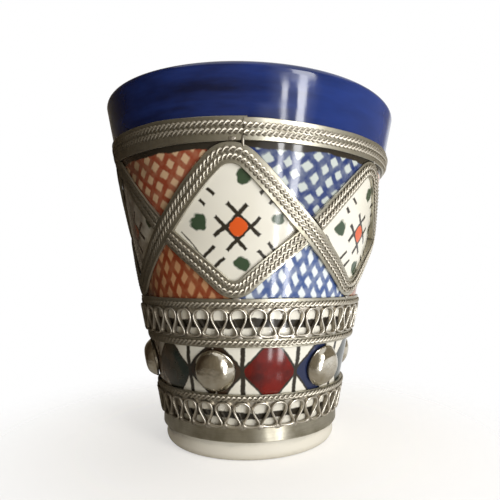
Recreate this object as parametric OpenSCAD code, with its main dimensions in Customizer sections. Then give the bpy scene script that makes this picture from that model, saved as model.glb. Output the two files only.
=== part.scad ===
// A tapered earthenware cup in an openwork jacket of soldered nickel-silver strip and twisted wire.
// Millimetres, +Z up, origin at the middle of the foot on the ground.
// Angles around the cup run from the front (-Y) towards +X.

/* [Cup] */
// Height of the cup from the ground to the lip
cup_h = 96; // [85:1:120]
// Radius where the line of the wall meets the ground
foot_r = 25.15; // [20:0.05:32]
// Radius of the wall at the height of the lip
rim_r = 43.1; // [36:0.1:50]
// How far the wall draws in from a straight cone, a third of the way up
wall_waist = 1.15; // [0:0.05:1.5]
// How far it draws in above the foot as well
foot_draw = 1.3; // [0:0.05:1.4]
// Height where that draw is deepest
foot_draw_z = 7; // [5:0.5:10]
// Thickness of the wall and its full-round lip
wall_t = 4; // [3:0.1:6]
// Height of the inside floor above the ground
floor_t = 6.5; // [4:0.1:10]
// Round between the inside floor and the wall
floor_round = 8; // [3:0.5:12]
// Round at the outer edge of the foot
foot_round = 2.2; // [1:0.1:4]
// Width of the ring that the cup stands on
foot_ring_w = 5; // [3:0.5:8]
// Depth of the hollow under the foot
foot_recess = 1.5; // [0.5:0.1:2.5]
// Bare height of the rim above the jacket
rim_show = 13.4; // [8:0.1:20]
// Bare height of the foot below the jacket
foot_show = 5.3; // [3:0.05:8]

/* [Jacket stock] */
// Clearance between the cup and the jacket
jacket_gap = 0.2; // [0.1:0.05:0.3]
// Clearance of a soldered joint between two pieces of the jacket
solder_gap = 0.05; // [0.03:0.01:0.1]
// Thickness of the flat strip
strip_t = 0.5; // [0.3:0.05:1]
// Diameter over the two strands of the twisted wire
rope_d = 1.1; // [0.8:0.05:1.4]
// Distance between the two wires on a strip
rope_pitch = 1.65; // [1.4:0.05:2]
// Width of the butt seam in a closed strip
seam_w = 0.15; // [0.1:0.05:0.3]

/* [Collar] */
// Width of the collar strip
collar_w = 5; // [4:0.1:7]
// Height of the pair of wires above the lower edge of the collar
collar_rope_rise = 2.5; // [1.9:0.1:3.1]
// Angle of the seam of the collar
collar_seam = 4.6; // [-180:0.1:180]

/* [Lattice] */
// Number of lozenges around the cup
lozenges = 6; // [4:2:8]
// Width of the zigzag strap
strap_w = 4.8; // [4.3:0.1:6]
// Width of the vee straps
vee_w = 4.2; // [3.6:0.1:5]
// Dip of a strap halfway between two bends, as a straight strip laid on a cone has
strap_dip = 1.6; // [0:0.1:2]
// Radius of a bend along the middle of a strap
bend_r = 5.5; // [4:0.1:8]

/* [Upper gallery] */
// Width of the two rails
rail_w = 2.35; // [2:0.05:4]
// Drop of the wire below the top edge of the top rail
rail_rope_drop = 1.5; // [0.7:0.05:1.7]
// Height between the rails
gallery_gap = 7.3; // [5:0.1:9]
// Number of scroll loops around the cup
gallery_loops = 42; // [36:1:44]
// Angle of the first loop of the gallery
gallery_turn = 1.55; // [-5:0.05:5]

/* [Scroll ribbon] */
// Thickness of the ribbon, which stands on edge
ribbon_t = 0.4; // [0.3:0.05:0.5]
// Depth of the ribbon, out from the cup
ribbon_d = 1.2; // [0.8:0.1:1.6]
// Swell of each loop past an even wave, as a share of the loop spacing
loop_swell = 0.28; // [0.1:0.01:0.3]
// Drop of the necks between the loops below the middle, as a share of the ribbon's swing
neck_drop = 0.22; // [0:0.02:0.3]

/* [Bosses] */
// Number of bosses around the cup
bosses = 6; // [4:1:8]
// Diameter of a boss over its brim
boss_d = 10.8; // [9:0.1:11.5]
// Width of the brim round its dome
brim_w = 0.2; // [0.1:0.05:1.2]
// Flatness of its crown: 2 is an even bowl, more is flatter
dome_flat = 4; // [2:0.1:5]
// Height of the boss
boss_h = 2.8; // [2:0.1:4]
// Height where the brim meets the dome
brim_rise = 0.6; // [0.5:0.05:1]
// Thickness of the stamped sheet
boss_t = 0.45; // [0.3:0.05:0.8]
// Angle of the first boss
boss_turn = -11.5; // [-30:0.5:30]
// Diameter of the solder beads above and below each boss
bead_d = 0.4; // [0.3:0.05:1]

/* [Base] */
// Width of the rail above the lower scroll
base_rail_w = 1.8; // [1.6:0.1:3]
// Drop of the wire below the top edge of that rail
base_rope_drop = 0.9; // [0.6:0.05:1]
// Height between the rail and the skirt
base_gap = 6.8; // [5:0.05:9]
// Number of scroll loops around the base
base_loops = 36; // [32:1:38]
// Angle of the first loop of the base
base_turn = 2.35; // [-5:0.05:5]
// Width of the plain skirt strip
skirt_w = 3.6; // [3:0.1:6]
// Angle of the seam of the rails and the skirt
rail_seam = 180; // [-180:1:180]

/* [Hidden] */

// Heights of the jacket, from the skirt up
skirt_z = foot_show;
base_z = skirt_z + skirt_w;
base_rail_z = base_z + base_gap;
boss_row_z = base_rail_z + base_rail_w;
boss_row_h = boss_d + 2 * (bead_d + 2 * solder_gap);
gallery_z = boss_row_z + boss_row_h;
scroll_z = gallery_z + rail_w;
top_rail_z = scroll_z + gallery_gap;
lattice_z = top_rail_z + rail_w;
collar_z = cup_h - rim_show - collar_w;
boss_z = boss_row_z + boss_row_h / 2;

// Places of the round wires on their strips
rope_r = rope_d / 2;
collar_rope_z = collar_z + collar_rope_rise;
top_rope_z = lattice_z - rail_rope_drop;
bottom_rope_z = gallery_z + rail_w / 2;
base_rope_z = boss_row_z - base_rope_drop;

// The strap's middle line: bends of bend_r joined by straight runs, laid out flat at the lattice's middle height
bend_top_z = collar_z - solder_gap - strap_w / 2 - bend_r;
bend_low_z = lattice_z + solder_gap + strap_w / 2 + bend_r;
lattice_mid_z = (bend_top_z + bend_low_z) / 2;
lozenge_turn = 360 / lozenges;
lozenge_w = PI * (wall_r(lattice_mid_z) + jacket_gap) * lozenge_turn / 180;
bend_rise = bend_top_z - bend_low_z;
strap_slope = atan2(bend_rise, lozenge_w) + asin(2 * bend_r / norm([lozenge_w, bend_rise]));

// The bend of a vee, tighter than the zigzag's, so that the narrower strap meets the same rail from the same crossing
vee_bend_r = bend_r - (strap_w - vee_w) / 2 / (1 / cos(strap_slope) - 1);
vee_bend_z = lattice_z + solder_gap + vee_w / 2 + vee_bend_r;

// Smoothness of the shapes
wall_steps = 36;
arc_steps = 8;
bend_steps = 5;
straight_steps = 6; // from a crossing to a bend
half_steps = 2 * (bend_steps + straight_steps);
wire_sides = 6;
loop_steps = 12;
$fn = 96;

metal = "#8f897b";
polished = "#a59d88";
glaze = "#dfdacb";

// Radius of the cup's wall at height z: a cone that draws in by wall_waist at a third of its height, and by
// foot_draw just above the foot
function wall_r(z) =
    let (t = z / cup_h, s = z / foot_draw_z)
    foot_r + (rim_r - foot_r) * t - wall_waist * 27 / 4 * t * (1 - t) * (1 - t) - foot_draw * s * exp(1 - s);

// Lean of the wall from upright at height z, in degrees
function wall_lean(z) =
    let (t = z / cup_h, s = z / foot_draw_z)
    atan((rim_r - foot_r - wall_waist * 27 / 4 * (1 - t) * (1 - 3 * t)) / cup_h
        - foot_draw * (1 - s) * exp(1 - s) / foot_draw_z);

// Points of an arc about a centre, from one angle to another
function arc(centre, r, from, to) =
    [for (i = [0:arc_steps]) let (a = from + (to - from) * i / arc_steps) centre + r * [cos(a), sin(a)]];

// Point at an angle and a height, standing proud of the jacket's inner face
function on_jacket(turn, z, proud) =
    let (r = wall_r(z) + jacket_gap + proud)
    [r * sin(turn), -r * cos(turn), z];

// The same for a strap of the lattice, which dips between its bends
function on_lattice(turn, z, proud) =
    on_jacket(turn, z - strap_dip * sin(180 * turn / lozenge_turn) ^ 2, proud);

// Flat point of the zigzag at a step, with side the distance above its middle line
function half_wave(step, side) =
    let (
        across = [sin(strap_slope), cos(strap_slope)],
        top = [0, bend_top_z],
        low = [lozenge_w, bend_low_z],
        leave = top + (bend_r + side) * across,
        meet = low - (bend_r - side) * across,
        a = strap_slope * step / bend_steps,
        b = strap_slope * (half_steps - step) / bend_steps
    )
    step < bend_steps ? top + (bend_r + side) * [sin(a), cos(a)] :
    step <= half_steps - bend_steps ? leave + (meet - leave) * (step - bend_steps) / (half_steps - 2 * bend_steps) :
    low - (bend_r - side) * [sin(b), cos(b)];

function wave(step, side) =
    let (
        whole = 2 * half_steps,
        turns = floor(step / whole),
        s = step - turns * whole,
        p = half_wave(s <= half_steps ? s : whole - s, side)
    )
    [(s <= half_steps ? p.x : 2 * lozenge_w - p.x) + 2 * lozenge_w * turns, p.y];

// Flat point of a vee from crossing to crossing; its ends are cut along the edges of the strap that it meets
vee_steps = 2 * (straight_steps + bend_steps);
function vee(step, side) =
    let (
        s = min(step, vee_steps - step),
        along = [cos(strap_slope), -sin(strap_slope)],
        across = [sin(strap_slope), cos(strap_slope)],
        cut = (strap_w / 2 + 2 * solder_gap + side * cos(2 * strap_slope)) / sin(2 * strap_slope),
        low = [0, vee_bend_z],
        start = [-lozenge_w / 2, lattice_mid_z] + cut * along + side * across,
        meet = low - (vee_bend_r - side) * across,
        a = strap_slope * (1 - (s - straight_steps) / bend_steps),
        p = s <= straight_steps
            ? start + (meet - start) * s / straight_steps
            : low - (vee_bend_r - side) * [sin(a), cos(a)]
    )
    [step > vee_steps / 2 ? -p.x : p.x, p.y];

// Outline across a strap, and across a wire that lies on it: distance above the middle line and out from the cup
function strap_section(width) =
    [[-width / 2, 0], [-width / 2, strip_t], [width / 2, strip_t], [width / 2, 0]];
function wire_section(side) =
    [for (i = [0:wire_sides - 1])
        let (a = -360 * i / wire_sides)
        [side + rope_r * cos(a), strip_t + solder_gap + rope_r + rope_r * sin(a)]];

// A solid through rows of points, one row for each section along it, closed on itself or capped at its ends
module skin(rows, closed) {
    n = len(rows[0]);
    m = len(rows);
    last = closed ? m - 1 : m - 2;
    sides = [for (i = [0:last], j = [0:n - 1], half = [0, 1])
        let (
            a = i * n + j,
            b = i * n + (j + 1) % n,
            c = ((i + 1) % m) * n + (j + 1) % n,
            d = ((i + 1) % m) * n + j
        )
        half == 0 ? [a, b, c] : [a, c, d]];
    start_cap = [for (j = [1:n - 2]) [0, j + 1, j]];
    end_cap = [for (j = [1:n - 2]) (m - 1) * n * [1, 1, 1] + [0, j, j + 1]];
    polyhedron([for (row = rows) each row], closed ? sides : concat(sides, start_cap, end_cap));
}

module zigzag(section) {
    color(metal)
        skin([for (i = [0:half_steps * lozenges - 1])
            [for (s = section) let (p = wave(i, s[0])) on_lattice(p.x / lozenge_w * lozenge_turn, p.y, s[1])]],
            true);
}

// Odd-numbered vees point down at the front of the cup, even-numbered ones up
module vee_piece(i, section) {
    up = i % 2 == 0 ? -1 : 1;
    color(metal)
        skin([for (k = [0:vee_steps])
            [for (s = section)
                let (
                    p = vee(k, up * s[0]),
                    turn = (p.x / lozenge_w + i - 1) * lozenge_turn,
                    z = lattice_mid_z + up * (p.y - lattice_mid_z)
                )
                on_lattice(turn, z, s[1])]],
            false);
}

// A strip bent round the cup between two heights, with its butt seam
module ring_strip(low, high, seam) {
    inner_low = wall_r(low) + jacket_gap;
    inner_high = wall_r(high) + jacket_gap;
    color(metal)
        difference() {
            rotate_extrude()
                polygon([[inner_low, low], [inner_low + strip_t, low],
                    [inner_high + strip_t, high], [inner_high, high]]);
            rotate([0, 0, seam])
                translate([-seam_w / 2, -inner_high - 2 * strip_t, low - strip_t])
                    cube([seam_w, inner_high, high - low + 2 * strip_t]);
        }
}

// A wire ring lying on the outside of a strip
module ring_wire(z) {
    color(metal)
        rotate_extrude()
            translate([wall_r(z) + jacket_gap + strip_t + solder_gap + rope_r, z])
                circle(rope_r);
}

// A ribbon on edge that winds up and down between two heights in swelling loops
module scroll(low, high, loops, first) {
    swing = (high - low - ribbon_t) / 2 - solder_gap;
    middle = (low + high) / 2;
    spacing = 2 * PI * (wall_r(middle) + jacket_gap) / loops;
    color(metal)
        skin([for (i = [0:loops * loop_steps - 1])
            let (
                t = i / loop_steps,
                up = cos(360 * t),
                p = [spacing * (t + loop_swell * sin(720 * t)), middle + swing * (up - neck_drop * (1 - up ^ 2))],
                along = [spacing * (1 + 4 * PI * loop_swell * cos(720 * t)),
                    -2 * PI * swing * sin(360 * t) * (1 + 2 * neck_drop * up)],
                across = [-along.y, along.x] * ribbon_t / 2 / norm(along)
            )
            [for (s = [[-1, 0], [-1, ribbon_d], [1, ribbon_d], [1, 0]])
                let (q = p + s[0] * across)
                on_jacket(first + 360 * q.x / spacing / loops, q.y, s[1])]],
            true);
}

// Moves a shape from the origin to stand on the wall, its +Z pointing out of the cup
module stand_on_wall(turn, z) {
    rotate([0, 0, turn - 90])
        translate([wall_r(z), 0, z])
            rotate([0, 90 + wall_lean(z), 0])
                translate([0, 0, jacket_gap])
                    children();
}

module ceramic_cup() {
    lip_r = wall_t / 2;
    lip_z = cup_h - lip_r;
    foot_in = wall_r(foot_round) - foot_round;
    bowl_z = floor_t + floor_round;
    wall_z = [for (i = [1:wall_steps - 1]) foot_round + (lip_z - foot_round) * i / wall_steps];
    bowl_wall_z = [for (i = [1:wall_steps - 1]) lip_z + (bowl_z - lip_z) * i / wall_steps];
    color(glaze)
        rotate_extrude()
            polygon(concat(
                [[0, foot_recess], [foot_in - foot_ring_w, foot_recess], [foot_in - foot_ring_w, 0]],
                arc([foot_in, foot_round], foot_round, -90, 0),
                [for (z = wall_z) [wall_r(z), z]],
                arc([wall_r(lip_z) - lip_r, lip_z], lip_r, 0, 180),
                [for (z = bowl_wall_z) [wall_r(z) - wall_t, z]],
                arc([wall_r(bowl_z) - wall_t - floor_round, bowl_z], floor_round, 0, -90),
                [[0, floor_t]]
            ));
}

module collar_band() {
    ring_strip(collar_z, collar_z + collar_w, collar_seam);
}

module collar_wire(side) {
    ring_wire(collar_rope_z + side * rope_pitch / 2);
}

module zigzag_strap() {
    zigzag(strap_section(strap_w));
}

module zigzag_wire(side) {
    zigzag(wire_section(side * rope_pitch / 2));
}

module vee_strap(i) {
    vee_piece(i, strap_section(vee_w));
}

module vee_wires(i) {
    for (side = [-1, 1])
        vee_piece(i, wire_section(side * rope_pitch / 2));
}

module gallery_top_rail() {
    ring_strip(top_rail_z, lattice_z, rail_seam);
}

module gallery_scroll() {
    scroll(scroll_z, top_rail_z, gallery_loops, gallery_turn);
}

module gallery_bottom_rail() {
    ring_strip(gallery_z, scroll_z, rail_seam);
}

// A stamped dome with a flattened crown and a narrow brim, hollow and open at the back
module boss(i) {
    crown_h = boss_h - brim_rise;
    crown = [for (k = [0:arc_steps])
        let (s = sin(90 * (1 - k / arc_steps)))
        [(boss_d / 2 - brim_w) * s, brim_rise + crown_h * (1 - s ^ dome_flat)]];
    color(polished)
        stand_on_wall(boss_turn + (i - 1) * 360 / bosses, boss_z)
            rotate_extrude()
                polygon(concat(
                    [[boss_d / 2, 0], [boss_d / 2, boss_t]],
                    crown,
                    [for (k = [arc_steps:-1:0]) crown[k] - [0, boss_t]]
                ));
}

module boss_beads() {
    bead_in = solder_gap + bead_d / 2;
    color(polished)
        for (i = [0:bosses - 1], z = [boss_row_z + bead_in, gallery_z - bead_in])
            stand_on_wall(boss_turn + i * 360 / bosses, z)
                translate([0, 0, bead_d / 2])
                    sphere(d = bead_d);
}

module base_rail() {
    ring_strip(base_rail_z, boss_row_z, rail_seam);
}

module base_scroll() {
    scroll(base_z, base_rail_z, base_loops, base_turn);
}

module base_skirt() {
    ring_strip(skirt_z, base_z, rail_seam);
}

ceramic_cup();
collar_band();
collar_wire(1);  // collar_wire_upper
collar_wire(-1);  // collar_wire_lower
zigzag_strap();
zigzag_wire(1);  // zigzag_wire_upper
zigzag_wire(-1);  // zigzag_wire_lower
for (i = [1:lozenges]) {
    vee_strap(i);
    vee_wires(i);
}
gallery_top_rail();
ring_wire(top_rope_z);  // gallery_top_wire
gallery_scroll();
gallery_bottom_rail();
ring_wire(bottom_rope_z);  // gallery_bottom_wire
for (i = [1:bosses])
    boss(i);
boss_beads();
base_rail();
ring_wire(base_rope_z);  // base_wire
base_scroll();
base_skirt();
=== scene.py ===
import math

import bmesh
import bpy
import numpy as np
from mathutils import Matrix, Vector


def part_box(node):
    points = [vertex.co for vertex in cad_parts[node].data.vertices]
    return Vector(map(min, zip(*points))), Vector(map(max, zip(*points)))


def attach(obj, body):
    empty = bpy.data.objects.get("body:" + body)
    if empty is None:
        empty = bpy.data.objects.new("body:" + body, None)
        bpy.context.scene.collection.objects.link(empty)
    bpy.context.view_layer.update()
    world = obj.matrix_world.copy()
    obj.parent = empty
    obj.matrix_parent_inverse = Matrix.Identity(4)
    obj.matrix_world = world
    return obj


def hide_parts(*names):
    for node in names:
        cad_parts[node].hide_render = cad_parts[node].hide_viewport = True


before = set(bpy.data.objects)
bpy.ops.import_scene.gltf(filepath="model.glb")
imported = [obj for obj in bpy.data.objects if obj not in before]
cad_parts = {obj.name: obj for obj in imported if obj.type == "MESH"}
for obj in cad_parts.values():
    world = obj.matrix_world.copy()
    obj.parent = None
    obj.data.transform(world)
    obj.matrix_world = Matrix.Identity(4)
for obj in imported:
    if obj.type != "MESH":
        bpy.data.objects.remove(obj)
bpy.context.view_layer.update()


# The cup was thrown in pale clay, dipped in white tin glaze and painted by hand before it was fired.
# Its lip is full round, its foot is wiped bare, and the wall keeps faint rings from the thrower's fingers.
# All sizes are in millimetres; angles round the cup run from the front (-Y) towards +X.
mm = 0.001
cup_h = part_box("ceramic_cup")[1].z / mm
foot_r = 25.15
rim_r = 43.1
wall_waist = 1.15
foot_draw = 1.3
foot_draw_z = 7.0
wall_t = 4.0
floor_t = 6.5
floor_round = 8.0
foot_round = 2.2
foot_ring_w = 5.0
foot_recess = 1.5
foot_edge = 0.5
centre_hole = 0.2
finger_ring = 5.5
finger_depth = 0.02
fingers_end = 88.0
out_of_round = 0.06
lip_dip = 1.0
lip_wave = 0.12
rim_lean = 0.021
lean_from = 41.0
lean_to = 78.0
lean_turn = math.radians(7)


def wall_r(z):
    """Radius of the cup's wall at a height: a cone that draws in a third of the way up and above the foot."""
    t = z / cup_h
    s = z / foot_draw_z
    waist = wall_waist * 27 / 4 * t * (1 - t) ** 2
    return foot_r + (rim_r - foot_r) * t - waist - foot_draw * s * np.exp(1 - s)


def wall_lean(z):
    """Lean of the wall from upright at a height, in radians."""
    t = z / cup_h
    s = z / foot_draw_z
    cone = (rim_r - foot_r - wall_waist * 27 / 4 * (1 - t) * (1 - 3 * t)) / cup_h
    return np.arctan(cone - foot_draw * (1 - s) * np.exp(1 - s) / foot_draw_z)


def arc(middle, radius, start, stop, steps):
    """Points of an arc in a profile, with angles in degrees."""
    a = np.radians(np.linspace(start, stop, steps + 1))
    return np.stack([middle[0] + radius * np.cos(a), middle[1] + radius * np.sin(a)], axis=-1)


def piece(name, skins, surface, body, slot, nodes=(), closed=False, crease=40.0, **marks):
    """Makes one piece of the object from skins, each a grid of points: rows along it, points round it.
    marks are values for the points of each skin that the piece's surface reads."""
    faces = []
    first = 0
    for rows in skins:
        count, around = rows.shape[:2]
        grid = first + np.arange(count * around).reshape(count, around)
        first += count * around
        if closed:
            grid = np.vstack([grid, grid[:1]])
        else:
            faces += [grid[0].tolist(), grid[-1, ::-1].tolist()]
        here = grid[:-1]
        there = grid[1:]
        quads = np.stack([here, there, np.roll(there, -1, axis=1), np.roll(here, -1, axis=1)], axis=-1)
        faces += quads.reshape(-1, 4).tolist()
    points = np.concatenate([rows.reshape(-1, 3) for rows in skins])
    # The cup was thrown by hand: its rim is a little higher on the left, and the collar and straps follow it
    leaning = rim_lean * np.clip((points[:, 2] - lean_from) / (lean_to - lean_from), 0, 1)
    points[:, 2] -= leaning * (points[:, 0] * math.cos(lean_turn) + points[:, 1] * math.sin(lean_turn))
    points *= mm
    mesh = bpy.data.meshes.new(name)
    mesh.from_pydata(points.tolist(), [], faces)
    shape = bmesh.new()
    shape.from_mesh(mesh)
    bmesh.ops.recalc_face_normals(shape, faces=shape.faces)
    shape.to_mesh(mesh)
    shape.free()
    mesh.shade_smooth()
    mesh.set_sharp_from_angle(angle=math.radians(crease))
    for mark, values in marks.items():
        flat = np.concatenate([np.ravel(v) for v in values]).astype(np.float32)
        kind, field = ("FLOAT", "value") if len(flat) == len(points) else ("FLOAT_VECTOR", "vector")
        mesh.attributes.new(mark, kind, "POINT").data.foreach_set(field, flat)
    mesh.materials.append(surface)
    made = bpy.data.objects.new(name, mesh)
    bpy.context.collection.objects.link(made)
    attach(made, body)
    if nodes:
        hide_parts(*nodes)
    return made


def linear(code):
    """An sRGB hex colour as the linear colour that a socket takes."""
    parts = [int(code[i:i + 2], 16) / 255 for i in (1, 3, 5)]
    return tuple(c / 12.92 if c <= 0.04045 else ((c + 0.055) / 1.055) ** 2.4 for c in parts) + (1.0,)


def new_surface(name):
    """A material with only its shader and output, for a section to add to."""
    made = bpy.data.materials.new(name)
    made.use_nodes = True
    return made, made.node_tree, made.node_tree.nodes["Principled BSDF"]


def add(tree, kind, inputs, **settings):
    """Adds a node, applies its settings, and links or sets its inputs, by order or by name."""
    made = tree.nodes.new("ShaderNode" + kind)
    for name, value in settings.items():
        setattr(made, name, value)
    for key, value in inputs.items() if isinstance(inputs, dict) else enumerate(inputs):
        if isinstance(value, bpy.types.NodeSocket):
            tree.links.new(value, made.inputs[key])
        else:
            made.inputs[key].default_value = value
    return made.outputs[0]


def calculate(tree, operation, *values):
    """A number worked out from numbers."""
    return add(tree, "Math", values, operation=operation)


def measure(tree, operation, *vectors):
    """A number worked out from vectors, such as a length."""
    return add(tree, "VectorMath", vectors, operation=operation).node.outputs["Value"]


def ranged(tree, value, start, stop, low=0.0, high=1.0):
    """A number that goes from low to high while a value goes from start to stop."""
    return add(tree, "MapRange", [value, start, stop, low, high])


def mix(tree, share, under, over):
    """A share of one colour laid over another."""
    return add(tree, "MixRGB", [share, under, over])


def patches(tree, place, size, detail):
    """A cloudy pattern, its patches about a size across."""
    return add(tree, "TexNoise", {"Vector": place, "Scale": 1 / size, "Detail": detail})


def marked(tree, name):
    """A mark that the points of a piece carry."""
    return add(tree, "Attribute", [], attribute_name=name).node.outputs["Fac"]


def in_mm(tree):
    """The spot on the object in millimetres, so that a pattern has its real size."""
    coords = add(tree, "TexCoord", []).node.outputs["Object"]
    return add(tree, "VectorMath", {"Vector": coords, "Scale": 1 / mm}, operation="SCALE")


# The glaze is glassy and slightly uneven, so the light breaks up a little on it. The painter's strokes sit in
# it: they wander, thin out and darken where two of them cross. The clay shows cream and dull at the foot.
glaze, tree, shader = new_surface("painted_tin_glazed_earthenware")
white_thick = linear("#ece9de")
white_thin = linear("#dfdaca")
outline_black = linear("#2f2a22")
motif_orange = linear("#d8581f")
dot_green = linear("#3a4c36")
hatch_red = linear("#97452d")
red_wash = linear("#d6b48f")
low_red = linear("#8a3c20")
low_red_wash = linear("#c4936a")
hatch_blue = linear("#122b66")
blue_wash = linear("#bec5c0")
low_blue = linear("#344e86")
low_blue_wash = linear("#dce2e3")
rim_deep = linear("#0b1438")
rim_light = linear("#1c2f6c")
rim_lit_blue = linear("#2a4288")
lip_pale = linear("#5f74a6")
row_red = linear("#740e02")
row_maroon = linear("#460602")
row_blue = linear("#222b4b")
row_green = linear("#1d2a23")
row_brown = linear("#3a2a1e")
painted_shade_brown = linear("#5e4b3b")
clay_cream = linear("#f9f4e6")

place = in_mm(tree)
# A hand wanders over about 8 mm and a brush's edge over less than one
drift = patches(tree, place, 8, 1.0).node.outputs["Color"]
drift = add(tree, "VectorMath", [drift, (0.5, 0.5, 0.5)], operation="SUBTRACT")
ragged = patches(tree, place, 0.9, 2.0).node.outputs["Color"]
ragged = add(tree, "VectorMath", [ragged, (0.5, 0.5, 0.5)], operation="SUBTRACT")
hand = add(tree, "VectorMath", [drift, (1.8, 1.8, 1.8), place], operation="MULTIPLY_ADD")
hand = add(tree, "VectorMath", [ragged, (0.5, 0.5, 0.5), hand], operation="MULTIPLY_ADD")
x, y, z = add(tree, "SeparateXYZ", [hand]).node.outputs
# The painter followed the uneven rim, so heights count from it
rightwards = (math.cos(lean_turn), math.sin(lean_turn), 0)
rightwards = measure(tree, "DOT_PRODUCT", hand, rightwards)
leaning = ranged(tree, z, lean_from, lean_to, 0.0, rim_lean)
z = calculate(tree, "MULTIPLY_ADD", rightwards, leaning, z)
back_y = calculate(tree, "MULTIPLY", y, -1.0)
turn = calculate(tree, "ARCTAN2", x, back_y)
degrees = calculate(tree, "MULTIPLY", turn, 180 / math.pi)
level = add(tree, "VectorMath", [hand, (1.0, 1.0, 0.0)], operation="MULTIPLY")
radius = measure(tree, "LENGTH", level)
arc_mm = calculate(tree, "MULTIPLY", radius, math.pi / 180)


def lay(coat, paint, distance, half_width, edge=0.14, cover=1.0):
    """Lays a stroke of paint on the coat, where the distance from its middle is under half its width."""
    covered = ranged(tree, distance, half_width + edge, half_width - edge, 0.0, cover)
    return mix(tree, covered, coat, paint)


def apart(value, middle):
    """How far a value lies from a middle, to either side."""
    off = calculate(tree, "SUBTRACT", value, middle)
    return calculate(tree, "ABSOLUTE", off)


cloud = patches(tree, place, 14, 3.0)
white = mix(tree, cloud, white_thick, white_thin)
coat = white

# Ornament in the middle of each of six lozenges; the painter placed each one a little differently
lozenges = 6
lozenge_turn = 360 / lozenges
motif_turn = 4.6
motif_z = 58.2
placing = 3.56
shifted = calculate(tree, "SUBTRACT", degrees, motif_turn)
which = calculate(tree, "ADD", shifted, lozenge_turn / 2)
which = calculate(tree, "DIVIDE", which, lozenge_turn)
which = calculate(tree, "FLOOR", which)
which = calculate(tree, "MULTIPLY_ADD", which, 1.2, -0.45)
which = calculate(tree, "COSINE", which)
local = calculate(tree, "WRAP", shifted, lozenge_turn / 2, -lozenge_turn / 2)
local = calculate(tree, "MULTIPLY_ADD", which, placing, local)
u = calculate(tree, "MULTIPLY", local, arc_mm)
v = calculate(tree, "SUBTRACT", z, motif_z)
flat = add(tree, "CombineXYZ", [u, v])
half_root = math.sqrt(0.5)
slants = []
for slant_rise in (half_root, -half_root):
    slants.append(measure(tree, "DOT_PRODUCT", flat, (half_root, slant_rise, 0)))
up_right, down_right = slants
rising = calculate(tree, "ABSOLUTE", up_right)
falling = calculate(tree, "ABSOLUTE", down_right)

# Crosshatch outside the lozenges, up to lines that hide under the straps: red on one side of each, cobalt on
# the other. The brush was thin with colour: its strokes pool where they cross and leave a wash between them.
lozenge_half_h = 18.1
lattice_z = 59.4
strap_dip = 1.6
beat = calculate(tree, "MULTIPLY", turn, lozenges / 2)
beat = calculate(tree, "SINE", beat)
dip = calculate(tree, "POWER", beat, 2.0)
up = calculate(tree, "MULTIPLY_ADD", dip, strap_dip, z)
up = apart(up, lattice_z)
up = calculate(tree, "DIVIDE", up, lozenge_half_h)
aside = calculate(tree, "WRAP", degrees, lozenge_turn / 2, -lozenge_turn / 2)
aside = calculate(tree, "ABSOLUTE", aside)
aside = calculate(tree, "MULTIPLY", aside, 2 / lozenge_turn)
reach = calculate(tree, "ADD", up, aside)
hatch_low = 38.5
hatch_start = 1.3
pool_round = 0.8
upper_strokes = ((54.4, 3.6, 0.72), (-34.7, 3.2, 0.64))
lower_strokes = ((66.0, 3.0, 0.62), (-54.0, 3.2, 0.58))
strip_z = calculate(tree, "SUBTRACT", z, hatch_low)
strip_u = calculate(tree, "PINGPONG", degrees, lozenge_turn)
strip_u = calculate(tree, "MULTIPLY", strip_u, arc_mm)
strip = add(tree, "CombineXYZ", [strip_u, strip_z])
cobalt = calculate(tree, "GREATER_THAN", beat, 0.0)
upper_hatch = (hatch_red, hatch_blue, red_wash, blue_wash)
lower_hatch = (low_red, low_blue, low_red_wash, low_blue_wash)
watery = patches(tree, place, 2.5, 2.0)
watery = ranged(tree, watery, 0.42, 0.7, 0.0, 0.22)
hatches = []
for strokes, paints in ((upper_strokes, upper_hatch), (lower_strokes, lower_hatch)):
    hatch_paint = mix(tree, cobalt, paints[0], paints[1])
    drawn = mix(tree, cobalt, paints[2], paints[3])
    hatch_paint = mix(tree, watery, hatch_paint, drawn)
    edges = []
    for slope, pitch, half_width in strokes:
        normal = (math.sin(math.radians(slope)), math.cos(math.radians(slope)), 0)
        line = measure(tree, "DOT_PRODUCT", strip, normal)
        line = calculate(tree, "MULTIPLY_ADD", cobalt, -pitch / 2, line)
        line = calculate(tree, "ADD", line, hatch_start)
        line = calculate(tree, "PINGPONG", line, pitch / 2)
        drawn = lay(drawn, hatch_paint, line, half_width, 0.2, 0.92)
        edges.append(calculate(tree, "SUBTRACT", line, half_width))
    pool = calculate(tree, "SMOOTH_MIN", edges[0], edges[1], pool_round)
    drawn = lay(drawn, hatch_paint, pool, 0.0, 0.2, 0.7)
    hatches.append(drawn)
below = calculate(tree, "LESS_THAN", z, lattice_z)
hatched = mix(tree, below, hatches[0], hatches[1])
outside = ranged(tree, reach, 0.97, 1.0)
above = ranged(tree, strip_z, -0.3, 0.3)
outside = calculate(tree, "MULTIPLY", outside, above)
coat = mix(tree, outside, coat, hatched)

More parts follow.
